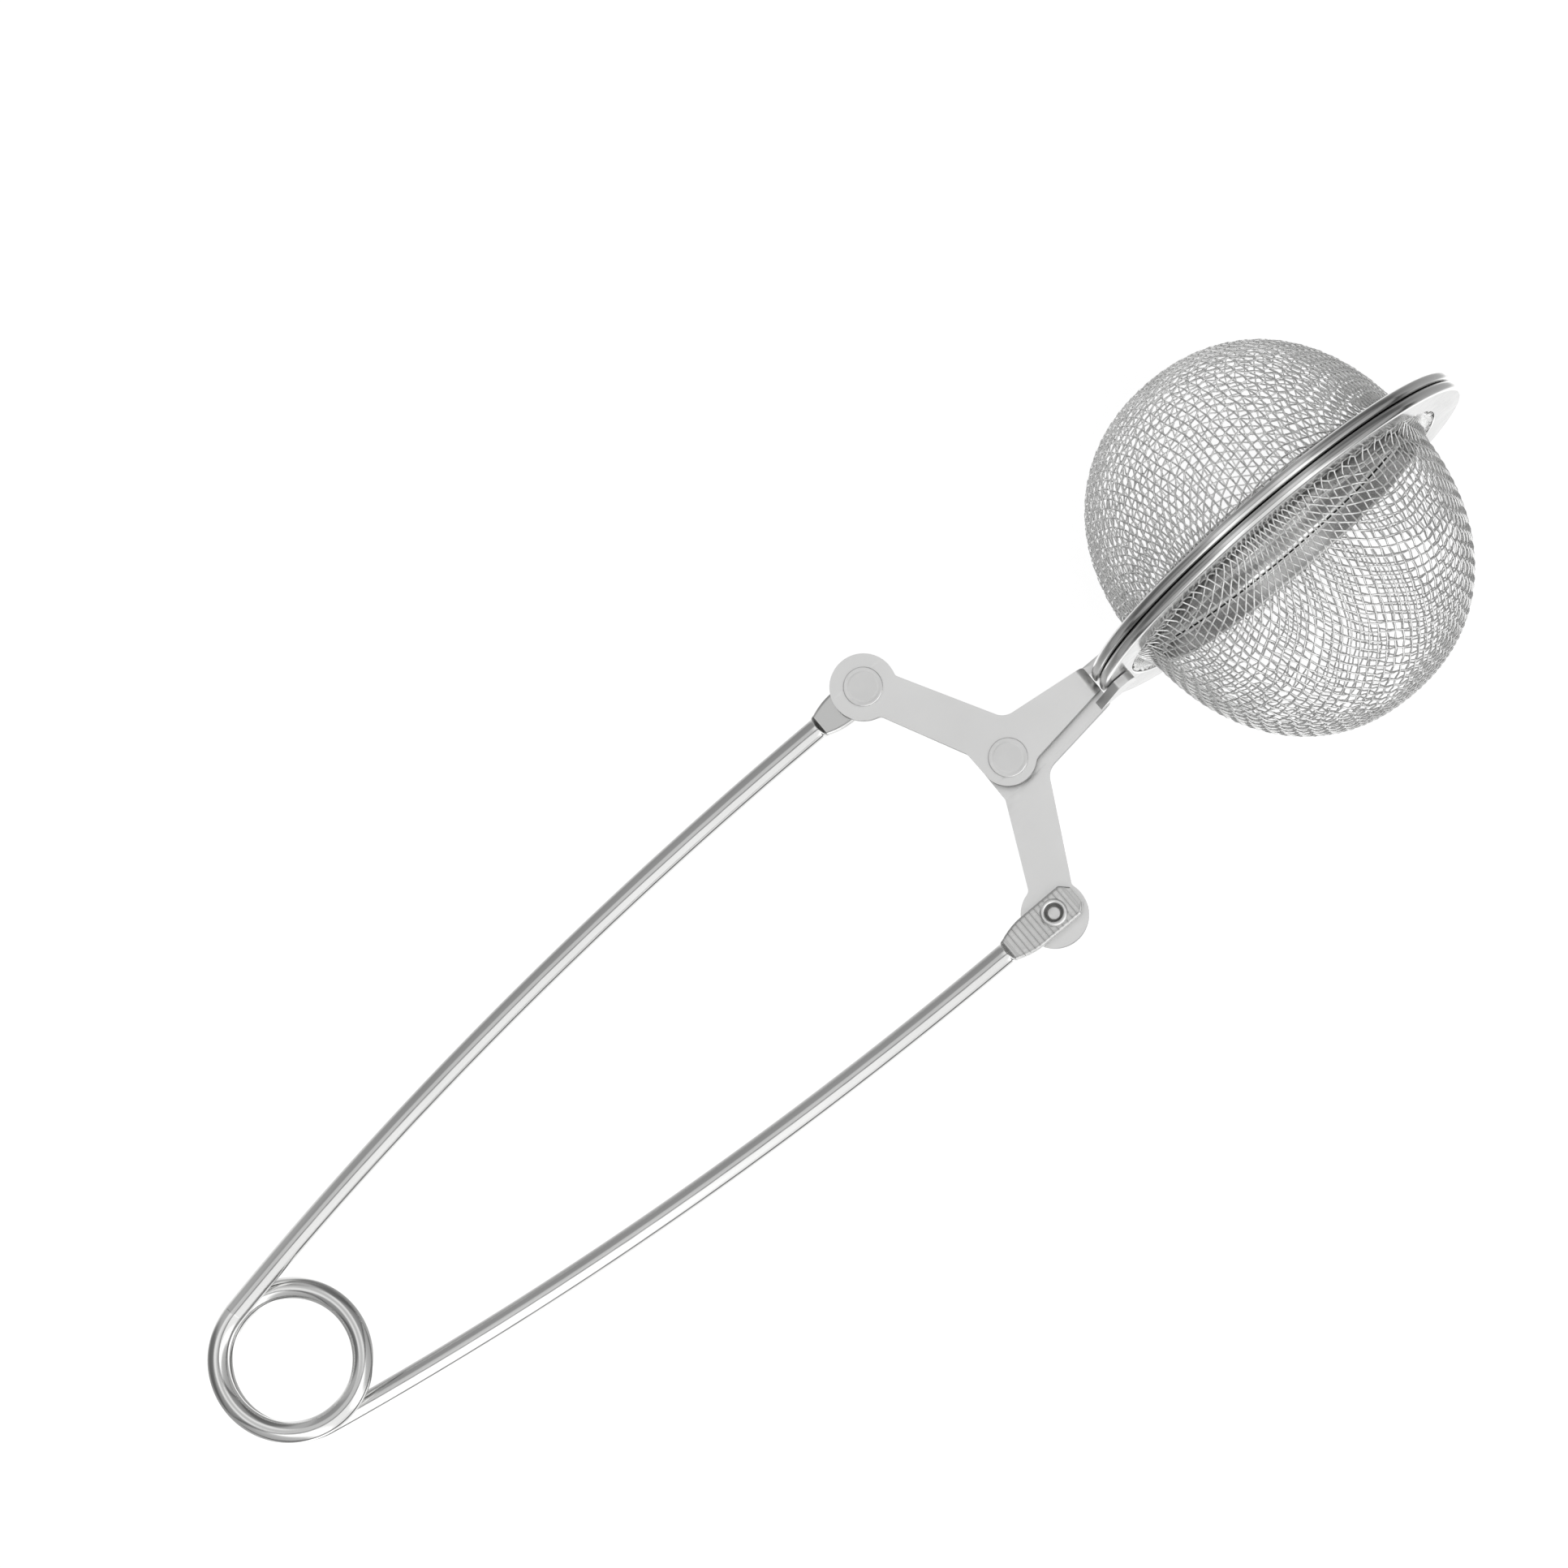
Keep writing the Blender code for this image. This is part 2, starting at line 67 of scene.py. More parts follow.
MM = 0.001
WELD = 0.001 * MM  # points closer than this are joined
JOINTS = {joint["name"]: Vector(joint["pos_m"]) for joint in frame["joints"]}
PIVOT = JOINTS["jaw_hinge"]
END_RIVET = JOINTS["upper_handle_hinge"]
RIM_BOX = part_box("upper_rim")
COIL_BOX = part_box("coil_spring")
TURN_OVER = Matrix.Rotation(pi, 4, "X")

# Handle wire
WIRE_R = 1.2 * MM
COIL_R = (COIL_BOX[1].y - COIL_BOX[0].y) / 2 - WIRE_R
COIL_X = COIL_BOX[0].x + COIL_R + WIRE_R
COIL_PITCH = 2.7 * MM
TENON = radians(13)  # how far the upper arm's wire runs on inside the coil
TENON_START = radians(0.2)
TENON_R = 0.975 * WIRE_R
PADDLE_Z = -0.725 * MM  # middle of the flattened end
PADDLE_T = 1.2 * MM
PADDLE_W = 4.0 * MM
PADDLE_BEYOND = 3.1 * MM  # from the rivet to its end
PADDLE_CORNER = 0.9 * MM
PADDLE_SHOULDER = 3.0 * MM  # from the rivet back to where the flat starts to narrow
PADDLE_BACK = 6.2 * MM  # from the rivet back to the end of the flat
PADDLE_NECK = 0.6 * MM  # length of the step from the flat to the round wire
PADDLE_NECK_W = 2.7 * MM
PADDLE_POWER = 7.0  # of the superellipse that is its section
PRESS_PITCH = 0.65 * MM
PRESS_DEPTH = 0.07 * MM
PRESS_RISE = 0.7  # share of the pitch that is the gentle side of a groove
ROUND = 2.0  # power of a round section
WIRE_SIDES = 40
CORNER_STEPS = 6
NECK_STEPS = 10
ARM_STEPS = 90
ARM_LAST = 0.9995  # share of the arm where a last ring sets its direction
TENON_STEPS = 12
COIL_STEPS = 200
UV_HALF_W = 0.008  # across the wire, in the map that runs along its length

# Levers, about the pivot, as in the CAD model but with finer arcs and rounded edges
REAR = (END_RIVET - PIVOT).to_2d()
LAYER = 0.125 * MM  # from the middle plane to a lever's near face
LEVER_T = 1.0 * MM
END_R = 3.7 * MM
BOSS_R = 3.1 * MM
HOLE_R = 1.45 * MM
ARM_FRONT = 2.45 * MM
ARM_BACK = 2.15 * MM
CROTCH = Vector((2.5, 3.65)) * MM
CROTCH_FILLET = 2.0 * MM
HEEL = Vector((-3.15, 3.15)) * MM
HEEL_FILLET = 0.8 * MM
NECK_FILLET = 1.2 * MM
NOTCH_FILLET = 0.8 * MM
TIP_REACH = 12.53 * MM
TIP_LOW = -0.72 * MM
TIP_LOW_RISE = 0.133
TIP_FILLET = 0.35 * MM
TAB_LOW = 1.4 * MM
TAB_LENGTH = 3.52 * MM
TAB_ROOT = 1.38 * MM
TAB_WIDTH = 4.7 * MM
TAB_CORNER = 1.1 * MM
TAB_SLANT = 1.3 * MM  # past the tip, where the tab's slanted edge reaches its full width
TAB_FOOT = 0.6 * MM
TAB_INSET = 0.75 * MM
NOSE_LENGTH = 1.1 * MM  # of the tip that is rounded off
NOSE_DROP = 0.65 * MM
NOSE_STEPS = 8
TAB_ROUND = 0.42 * MM
LEVER_ROUND = 0.28 * MM
SIDE_SHADE_SLOPE = 0.35  # of a face's normal, below which it is a cut side of the sheet, coloured dark as painted shade
ARC_STEP = radians(6)

# Rims, about the ball's axis
BALL_X = (RIM_BOX[0].x + RIM_BOX[1].x) / 2
ON_RIM = Matrix.Translation((BALL_X, 0, 0)) @ Matrix.Rotation(-pi / 2, 4, "X")  # Z to the axis
RIM_R = (RIM_BOX[1].x - RIM_BOX[0].x) / 2
RIM_GAP = RIM_BOX[0].y
RIM_SEAM = 0.3  # share of the gap between the rims that is kept
RIM_T = 1.15 * MM
SHEET_T = 0.5 * MM
EDGE_ROUND = 0.55 * MM
HEM_W = 4.0 * MM
HEM_ROUND = 0.22 * MM
COLLAR_R = 18.0 * MM
COLLAR_TOP = RIM_BOX[1].y
MOUTH_ROUND = 0.45 * MM
ROOT_ROUND = 0.4 * MM
LIP_R = 0.32 * MM  # of the bead along the collar's edge
LIP_IN = 0.12 * MM  # of the bead's middle inside the collar's outer face
RIM_STEPS = 240

# Woven cups, along the middle of the weave
CUP_R = 19.05 * MM
CUP_THICK = 0.5 * MM  # of the CAD shell, whose middle the weave follows
CUP_POWER = 2.2
CUP_START = 2.7 * MM  # height where the wall begins to bend out under the rim
CUP_BEND = 1.68 * MM
CUP_EDGE = RIM_R - HEM_W
CUP_FLANGE = 30 * MM  # the flat outside the bend, more than any wire needs
DOME_STEPS = 500
BEND_STEPS = 60
MESH_PITCH = 1.08 * MM
MESH_WIRE_R = 0.10 * MM
MESH_SIDES = 6
MESH_STEPS = 3  # rings from one crossing to the next
NET_HALF = 50  # wires from the pole outwards
NET_WOBBLE = 0.10 * MM
SOLVE_ROUNDS = 12
SOLVE_FLOOR = 0.02  # keeps a mesh that is nearly sheared flat from being divided by zero
CLOTH = {"upper": (radians(12), 1.0), "lower": (radians(52), 2.0)}  # turn of the weave, and seed

# Rivets
SEAT_GAP = 0.02 * MM
HEAD_R = 2.17 * MM
HEAD_H = 0.34 * MM
HEAD_ROUND = 0.10 * MM
RING_R = HEAD_R * 0.8  # of the shallow ring in the head
RING_INNER = 0.25 * MM
RING_HALF = 0.12 * MM
RING_DEPTH = 0.04 * MM
SHANK_R = 1.3 * MM
ROLL_R = 1.52 * MM
ROLL_H = 0.5 * MM
BORE_R = 0.98 * MM
BORE_FOOT_R = 0.84 * MM
BORE_DEPTH = 0.85 * MM
BORE_DOME = 0.14 * MM
SHADED_BORE_WALL = (BORE_FOOT_R * 0.99, BORE_R * 1.07)  # radii that its wall's faces lie between; these faces get painted shade
ROLL_ANGLES = range(60, -240, -20)
DOME_ANGLES = (20, 45, 70)
RIVET_STEPS = 72
HOLE_STEPS = 64


# ---------------------------------------------------------------- materials

CLOUD_SCALE = 0.12  # of the noise's scale that colours the steel, to the scale of its grain
GRAIN_DEPTH = 0.02 * MM


def add_node(tree, kind, **inputs):
    node = tree.nodes.new(kind)
    for name, value in inputs.items():
        node.inputs[name.replace("_", " ")].default_value = value
    return node


def grain(tree, coordinates, stretch, scale, detail):
    """Noise drawn out along one direction of the coordinates."""
    mapping = add_node(tree, "ShaderNodeMapping", Scale=stretch)
    noise = add_node(tree, "ShaderNodeTexNoise", Scale=scale, Detail=detail)
    tree.links.new(coordinates, mapping.inputs["Vector"])
    tree.links.new(mapping.outputs["Vector"], noise.inputs["Vector"])
    return noise.outputs["Fac"]


def spread(tree, value, low, high):
    """A noise value, from about 0.3 to 0.7, spread over a range."""
    limits = {"From_Min": 0.3, "From_Max": 0.7, "To_Min": low, "To_Max": high}
    node = add_node(tree, "ShaderNodeMapRange", **limits)
    tree.links.new(value, node.inputs["Value"])
    return node.outputs["Result"]


def steel(name, dark, light, rough, stretch, scale, bump, by_length=False):
    """Stainless steel, cloudy between two colours, with a drawn or rolled grain in its roughness
    and surface. The grain follows the object's axes, or the length of a wire."""
    material = bpy.data.materials.new(name)
    material.use_nodes = True
    tree = material.node_tree
    shader = tree.nodes["Principled BSDF"]
    shader.inputs["Metallic"].default_value = 1.0
    if by_length:
        source = add_node(tree, "ShaderNodeUVMap")
        source.uv_map = "length"
        coordinates = source.outputs["UV"]
    else:
        coordinates = add_node(tree, "ShaderNodeTexCoord").outputs["Object"]
    lines = grain(tree, coordinates, stretch, scale, 3.0)
    clouds = grain(tree, coordinates, (1, 1, 1), scale * CLOUD_SCALE, 2.0)

    tint = tree.nodes.new("ShaderNodeMix")
    tint.data_type = "RGBA"
    tint.inputs["A"].default_value = (*dark, 1)
    tint.inputs["B"].default_value = (*light, 1)
    tree.links.new(spread(tree, clouds, 0, 1), tint.inputs["Factor"])
    tree.links.new(tint.outputs["Result"], shader.inputs["Base Color"])
    tree.links.new(spread(tree, lines, rough[0], rough[1]), shader.inputs["Roughness"])

    relief = add_node(tree, "ShaderNodeBump", Strength=bump, Distance=GRAIN_DEPTH)
    tree.links.new(lines, relief.inputs["Height"])
    tree.links.new(relief.outputs["Normal"], shader.inputs["Normal"])
    return material


SATIN = steel(
    "satin_sheet", (0.80, 0.80, 0.795), (0.85, 0.85, 0.845),
    rough=(0.34, 0.42), stretch=(1, 5, 1), scale=900, bump=0.06,
)
# Painted shade: a dark steel on the levers' cut sides, which paints their shading into their
# colour.
SIDE_SHADE = steel(
    "painted_side_shade", (0.20, 0.20, 0.198), (0.32, 0.32, 0.317),
    rough=(0.30, 0.45), stretch=(1, 1, 8), scale=900, bump=0.2,
)
POLISHED = steel(
    "polished_rim", (0.56, 0.56, 0.555), (0.64, 0.64, 0.635),
    rough=(0.12, 0.22), stretch=(1, 1, 1), scale=700, bump=0.06,
)
HEADED = steel(
    "rivet_steel", (0.74, 0.74, 0.735), (0.80, 0.80, 0.795),
    rough=(0.32, 0.42), stretch=(1, 1, 1), scale=1500, bump=0.08,
)
# Partly painted highlight: a near-white, smoother steel on the rims' mouth roundings. Its
# smoothness is a finish; its light colour paints the bright line along the seam.
SEAM_HIGHLIGHT = steel(
    "painted_seam_highlight", (0.93, 0.93, 0.925), (0.97, 0.97, 0.965),
    rough=(0.10, 0.16), stretch=(1, 1, 1), scale=700, bump=0.06,
)
WOVEN = steel(
    "woven_wire", (0.75, 0.75, 0.745), (0.88, 0.88, 0.875),
    rough=(0.20, 0.36), stretch=(1, 1, 1), scale=2600, bump=0.2,
)
BRIGHT = steel(
    "bright_wire", (0.66, 0.66, 0.655), (0.74, 0.74, 0.735),
    rough=(0.10, 0.18), stretch=(1, 30, 1), scale=400, bump=0.12, by_length=True,
)
PRESSED = steel(
    "pressed_wire", (0.52, 0.52, 0.515), (0.66, 0.66, 0.655),
    rough=(0.20, 0.32), stretch=(1, 6, 1), scale=900, bump=0.2, by_length=True,
)
# Painted shade: a dark steel for the rivets' bore walls, where shade falls inside the hollow end.
BORE_SHADE = steel(
    "painted_bore_shade", (0.16, 0.16, 0.158), (0.24, 0.24, 0.237),
    rough=(0.30, 0.42), stretch=(1, 1, 1), scale=1500, bump=0.2,
)


# ---------------------------------------------------------------- mesh helpers


def piece(name, mesh, materials, body, slot, *nodes, smooth=radians(40)):
    """Shows a mesh as a piece of the object that rides on a body and stands for CAD nodes. Faces
    have the first material, unless they are marked for the second."""
    mesh.shade_smooth()
    mesh.set_sharp_from_angle(angle=smooth)
    for material in materials:
        mesh.materials.append(material)
    thing = bpy.data.objects.new(name, mesh)
    bpy.context.scene.collection.objects.link(thing)
    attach(thing, body)
    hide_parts(*nodes)


def unit(vectors):
    return vectors / np.linalg.norm(vectors, axis=-1, keepdims=True)


def section(places, ahead, up, half_w, half_t, power, count):
    """Rings of points round a path: a superellipse across the way that it runs. Its half width,
    half thickness and power are each one number, or one for each place on the path."""
    side = unit(np.cross(up, ahead))
    over = np.cross(ahead, side)
    turn = np.arange(count) * 2 * pi / count + pi / count
    bend = (ROUND / np.broadcast_to(power, len(places)))[:, None]
    across = np.sign(np.cos(turn)) * np.abs(np.cos(turn)) ** bend
    raised = np.sign(np.sin(turn)) * np.abs(np.sin(turn)) ** bend
    across = across * np.broadcast_to(half_w, len(places))[:, None]
    raised = raised * np.broadcast_to(half_t, len(places))[:, None]
    return places[:, None] + side[:, None] * across[..., None] + over[:, None] * raised[..., None]


def tube_faces(stations, count, first):
    """Quads between neighbouring rings of points, and a flat cap at each end."""
    start = first + np.arange(stations - 1)[:, None] * count
    here = np.arange(count)[None]
    ahead = (here + 1) % count
    quads = np.stack([start + here, start + ahead, start + ahead + count, start + here + count], -1)
    faces = quads.reshape(-1, 4).tolist()
    faces.append(list(range(first + count - 1, first - 1, -1)))
    last = first + (stations - 1) * count
    faces.append(list(range(last, last + count)))
    return faces


def tubes(name, ring_sets):
    """One mesh of closed tubes, each a stack of rings of points."""
    points, faces, first = [], [], 0
    for rings in ring_sets:
        stations, count, _ = rings.shape
        points.append(rings.reshape(-1, 3))
        faces += tube_faces(stations, count, first)
        first += stations * count
    mesh = bpy.data.meshes.new(name)
    mesh.from_pydata(np.concatenate(points).tolist(), [], faces)
    return mesh


def turned(name, profile, steps):
    """A profile of (radius, height) points turned about Z. It is a closed one, or it starts and
    ends at radius 0."""
    profile = np.array(profile)
    count = len(profile)
    turn = np.arange(steps) * 2 * pi / steps
    radius, height = profile[:, 0], profile[:, 1]
    x, y = np.outer(np.cos(turn), radius), np.outer(np.sin(turn), radius)
    points = np.stack([x, y, np.tile(height, (steps, 1))], -1)
    ring = np.arange(steps)[:, None]
    here = np.arange(count)[None]
    after = (here + 1) % count
    first, second = ring * count, (ring + 1) % steps * count
    quads = np.stack([first + here, second + here, second + after, first + after], -1)
    mesh = bpy.data.meshes.new(name)
    mesh.from_pydata(points.reshape(-1, 3).tolist(), [], quads.reshape(-1, 4).tolist())
    work = bmesh.new()
    work.from_mesh(mesh)
    bmesh.ops.remove_doubles(work, verts=work.verts, dist=WELD)
    bmesh.ops.dissolve_degenerate(work, edges=work.edges, dist=WELD)
    bmesh.ops.recalc_face_normals(work, faces=work.faces)
    work.to_mesh(mesh)
    work.free()
    return mesh


def bow(centre, radius, start, end, steps=6):
    """Points on an arc in a profile, from one angle to another in degrees."""
    angles = np.radians(np.linspace(start, end, steps + 1))
    return [(centre[0] + radius * cos(a), centre[1] + radius * sin(a)) for a in angles]


def baked(thing):
    """The object's mesh as evaluated, welded, with the object removed."""
    bpy.context.scene.collection.objects.link(thing)
    bpy.context.view_layer.update()
    graph = bpy.context.evaluated_depsgraph_get()
    mesh = bpy.data.meshes.new_from_object(thing.evaluated_get(graph))
    bpy.data.objects.remove(thing, do_unlink=True)
    work = bmesh.new()
    work.from_mesh(mesh)
    bmesh.ops.remove_doubles(work, verts=work.verts, dist=WELD)
    work.to_mesh(mesh)
    work.free()
    return mesh


def combined(mesh, other, operation):
    """A mesh joined with another one, or with the other one cut out of it."""
    thing = bpy.data.objects.new("first", mesh)
    tool = bpy.data.objects.new("second", other)
    bpy.context.scene.collection.objects.link(tool)
    change = thing.modifiers.new("change", "BOOLEAN")
    change.operation = operation
    change.solver = "EXACT"
    change.object = tool
    result = baked(thing)
    bpy.data.objects.remove(tool, do_unlink=True)
    name = mesh.name
    bpy.data.meshes.remove(mesh)
    result.name = name
    return result


def both_sides(make):
    """Calls make for the upper and the lower piece, with the turn that puts each in place."""
    make("upper", Matrix.Identity(4))
    make("lower", TURN_OVER)


# ---------------------------------------------------------------- woven cups


class Cup:
    """The middle surface of a cup. A flat point is a place on the cup's surface, as a distance
    along it from the pole in some direction; solid() gives where that place is."""

    def __init__(self, depth):
        a = np.linspace(0, pi / 2, DOME_STEPS)
        radius = CUP_R * np.sin(a) ** (ROUND / CUP_POWER)
        height = depth * np.maximum(np.cos(a), 0) ** (ROUND / CUP_POWER)
        wall = height > CUP_START
        t = np.linspace(0, pi / 2, BEND_STEPS)
        flat_r, flat_height = CUP_R + CUP_BEND, CUP_START - CUP_BEND
        bend_r, bend_height = flat_r - CUP_BEND * np.cos(t), CUP_START - CUP_BEND * np.sin(t)
        radius = np.concatenate([radius[wall], bend_r, [flat_r + CUP_FLANGE]])
        height = np.concatenate([height[wall], bend_height, [flat_height]])
        run = np.hypot(np.diff(radius), np.diff(height))
        self.radius, self.height = radius, height
        self.along = np.concatenate([[0], np.cumsum(run)])
        bend = np.count_nonzero(wall)
        self.edge = np.interp(CUP_EDGE, radius[bend:], self.along[bend:])

    def solid(self, flat):
        along = np.maximum(np.hypot(flat[..., 0], flat[..., 1]), 1e-9)
        share = np.interp(along, self.along, self.radius) / along
        height = np.interp(along, self.along, self.height)
        return np.stack([flat[..., 0] * share, flat[..., 1] * share, height], -1)

    def normal(self, flat):
        step = 0.05 * MM
        over = self.solid(flat + [step, 0]) - self.solid(flat - [step, 0])
        up = self.solid(flat + [0, step]) - self.solid(flat - [0, step])
        return unit(np.cross(over, up))


def crossing(cup, first, second, guess):
    """The flat points one mesh pitch from each of two sets of neighbours, by Newton's method."""
    step = 0.002 * MM

    def miss(flat):
        here = cup.solid(flat)
        apart = [np.linalg.norm(here - place, axis=-1) for place in (first, second)]
        return np.stack(apart, -1) - MESH_PITCH

    for _ in range(SOLVE_ROUNDS):
        error = miss(guess)
        by_x = (miss(guess + [step, 0]) - error) / step
        by_y = (miss(guess + [0, step]) - error) / step
        scale = by_x[:, 0] * by_y[:, 1] - by_y[:, 0] * by_x[:, 1]
        scale = np.where(np.abs(scale) < SOLVE_FLOOR, SOLVE_FLOOR, scale)
        move_x = (error[:, 0] * by_y[:, 1] - error[:, 1] * by_y[:, 0]) / scale
        move_y = (error[:, 1] * by_x[:, 0] - error[:, 0] * by_x[:, 1]) / scale
        move = np.stack([move_x, move_y], -1)
        guess = guess - np.clip(move, -MESH_PITCH / 3, MESH_PITCH / 3)
    return guess


def woven_net(cup):
    """Flat points where the wires cross, for a square cloth pressed over the cup from its pole.
    Each mesh keeps its sides, and its corners shear. One quarter is solved and mirrored."""
    quarter = np.zeros((NET_HALF, NET_HALF, 2))
    quarter[:, 0, 0] = np.arange(NET_HALF) * MESH_PITCH
    quarter[0, :, 1] = np.arange(NET_HALF) * MESH_PITCH
    for total in range(2, 2 * NET_HALF - 1):
        i = np.arange(max(1, total - NET_HALF + 1), min(total, NET_HALF))
        j = total - i
        guess = quarter[i - 1, j] + quarter[i, j - 1] - quarter[i - 1, j - 1]
        first, second = cup.solid(quarter[i - 1, j]), cup.solid(quarter[i, j - 1])
        quarter[i, j] = crossing(cup, first, second, guess)
    half = np.concatenate([quarter[:0:-1] * [-1, 1], quarter])
    return np.concatenate([half[:, :0:-1] * [1, -1], half], 1)


def wobble(flat, seed):
    """A slow drift of the wires from their even places."""
    x, y = flat[..., 0] / MM, flat[..., 1] / MM
    drift_x = np.sin(0.61 * y + 1.7 * seed) + np.sin(0.37 * x - 0.83 * y + seed)
    drift_y = np.sin(0.53 * x + 2.3 * seed) + np.sin(0.71 * x + 0.29 * y + 2 * seed)
    return flat + np.stack([drift_x, drift_y], -1) * NET_WOBBLE


def woven_wire(cup, line, parity):
    """The rings of one wire through a line of crossings, cut off at the cup's edge, or nothing
    if hardly any of it lies inside."""
    count = len(line)
    places = np.arange(0, count - 1 + 1e-9, 1 / MESH_STEPS)
    flat = np.stack([np.interp(places, np.arange(count), line[:, k]) for k in (0, 1)], -1)
    along = np.hypot(flat[:, 0], flat[:, 1])
    inside = np.flatnonzero(along < cup.edge)
    if len(inside) < 2 * MESH_STEPS:
        return None
    keep = slice(inside[0], inside[-1] + 1)
    flat, places = flat[keep], places[keep]
    height = np.cos(places * pi) * parity * MESH_WIRE_R
    normal = cup.normal(flat)
    middle = cup.solid(flat) + normal * height[:, None]
    ahead = unit(np.gradient(middle, axis=0))
    return section(middle, ahead, normal, MESH_WIRE_R, MESH_WIRE_R, ROUND, MESH_SIDES)


def weave(cup, turn, seed):
    """The two sets of wires of a cup, each a list of ring stacks. Every wire goes over and under
    the ones that it crosses."""
    flat = wobble(woven_net(cup), seed)
    c, s = cos(turn), sin(turn)
    flat = flat @ np.array([[c, s], [-s, c]])
    warp, weft = [], []
    for k in range(flat.shape[0]):
        sign = 1 if k % 2 else -1
        warp.append(woven_wire(cup, flat[:, k], sign))
        weft.append(woven_wire(cup, flat[k], -sign))
    return [w for w in warp if w is not None], [w for w in weft if w is not None]


def cups():
    def make(side, place):
        node = side + "_mesh_cup"
        low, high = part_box(node)
        cup = Cup(max(-low.y, high.y) - CUP_THICK / 2)
        for family, wires in zip(("warp", "weft"), weave(cup, *CLOTH[side])):
            mesh = tubes(f"{side}_cup_{family}", wires)
            mesh.transform(place @ ON_RIM)
            piece(mesh.name, mesh, [WOVEN], side + "_jaw", "woven_wire", node, smooth=pi)

    both_sides(make)


# ---------------------------------------------------------------- rims


def rim_profile():
    """The rim's section: a collar, a flat sheet and an edge folded back over it."""
    low = RIM_GAP * RIM_SEAM
    top = RIM_GAP + RIM_T
    edge = RIM_R - EDGE_ROUND
    hem = RIM_R - HEM_W
    sheet = low + SHEET_T
    collar = COLLAR_R + SHEET_T
    root = ROOT_ROUND
    points = bow((hem + HEM_ROUND, top - HEM_ROUND), HEM_ROUND, 180, 90)
    points += bow((edge, top - EDGE_ROUND), EDGE_ROUND, 90, 0, 10)
    points += bow((edge, low + EDGE_ROUND), EDGE_ROUND, 0, -90, 10)
    points += bow((COLLAR_R + MOUTH_ROUND, low + MOUTH_ROUND), MOUTH_ROUND, -90, -180, 10)
    points += bow((collar - LIP_IN, COLLAR_TOP - LIP_R), LIP_R, 215, -50, 20)
    points += bow((collar + root, sheet + root), root, 180, 270)
    points.append((hem, sheet))
    return points


def rims():
    def make(side, place):
        mesh = turned(side + "_rim_look", rim_profile(), RIM_STEPS)
        for polygon in mesh.polygons:
            # The mouth's rounding by the parting face gets the near-white steel that paints the
            # seam's highlight.
            inside = polygon.center.to_2d().length < COLLAR_R + MOUTH_ROUND
            polygon.material_index = int(inside and polygon.center.z < RIM_GAP + MOUTH_ROUND)
        mesh.transform(place @ ON_RIM)
        piece(mesh.name, mesh, [POLISHED, SEAM_HIGHLIGHT], side + "_jaw", "polished_rim", side + "_rim")

    both_sides(make)


# ---------------------------------------------------------------- rivets


def rivet_profile(under):
    """A flat head with a shallow ring, a shank, and a hollow end rolled over below under."""
    low = LAYER + LEVER_T + SEAT_GAP
    top = low + HEAD_H
    roll_top = under - SEAT_GAP
    half = ROLL_H / 2
    middle = (ROLL_R + BORE_R) / 2
    wide = (ROLL_R - BORE_R) / 2
    points = [(0, top), (RING_R - RING_INNER, top), (RING_R - RING_HALF, top)]
    points += [(RING_R, top - RING_DEPTH), (RING_R + RING_HALF, top)]
    points += bow((HEAD_R - HEAD_ROUND, top - HEAD_ROUND), HEAD_ROUND, 90, 0)
    points += [(HEAD_R, low), (SHANK_R, low), (SHANK_R, roll_top)]
    for a in np.radians(ROLL_ANGLES):
        points.append((middle + wide * cos(a), roll_top - half + half * sin(a)))
    foot = roll_top - ROLL_H + BORE_DEPTH
    points.append((BORE_FOOT_R, foot))
    for a in np.radians(DOME_ANGLES):
        points.append((BORE_FOOT_R * cos(a), foot - BORE_DOME * sin(a)))
    points.append((0, foot - BORE_DOME))
    return points


def rivet_mesh(name, under):
    """A rivet, with its hollow end's wall marked for the second material, a dark steel that paints
    the bore's shade.
    """
    mesh = turned(name, rivet_profile(under), RIVET_STEPS)
    for polygon in mesh.polygons:
        reaches = [mesh.vertices[k].co.to_2d().length for k in polygon.vertices]
        inside = min(reaches) > SHADED_BORE_WALL[0] and max(reaches) < SHADED_BORE_WALL[1]
        polygon.material_index = int(inside)
    return mesh


def rivets():
    paddle_under = PADDLE_Z - PADDLE_T / 2
    lever_under = -LAYER - LEVER_T

    def make(side, place):
        node = side + "_handle_rivet"
        mesh = rivet_mesh(node + "_look", paddle_under)
        mesh.transform(place @ Matrix.Translation(END_RIVET))
        piece(mesh.name, mesh, [HEADED, BORE_SHADE], side + "_jaw", "rivet_steel", node)

    both_sides(make)
    mesh = rivet_mesh("pivot_rivet_look", lever_under)
    mesh.transform(Matrix.Translation(PIVOT))
    piece(mesh.name, mesh, [HEADED, BORE_SHADE], "lower_jaw", "rivet_steel", "pivot_rivet")


# ---------------------------------------------------------------- handle wire


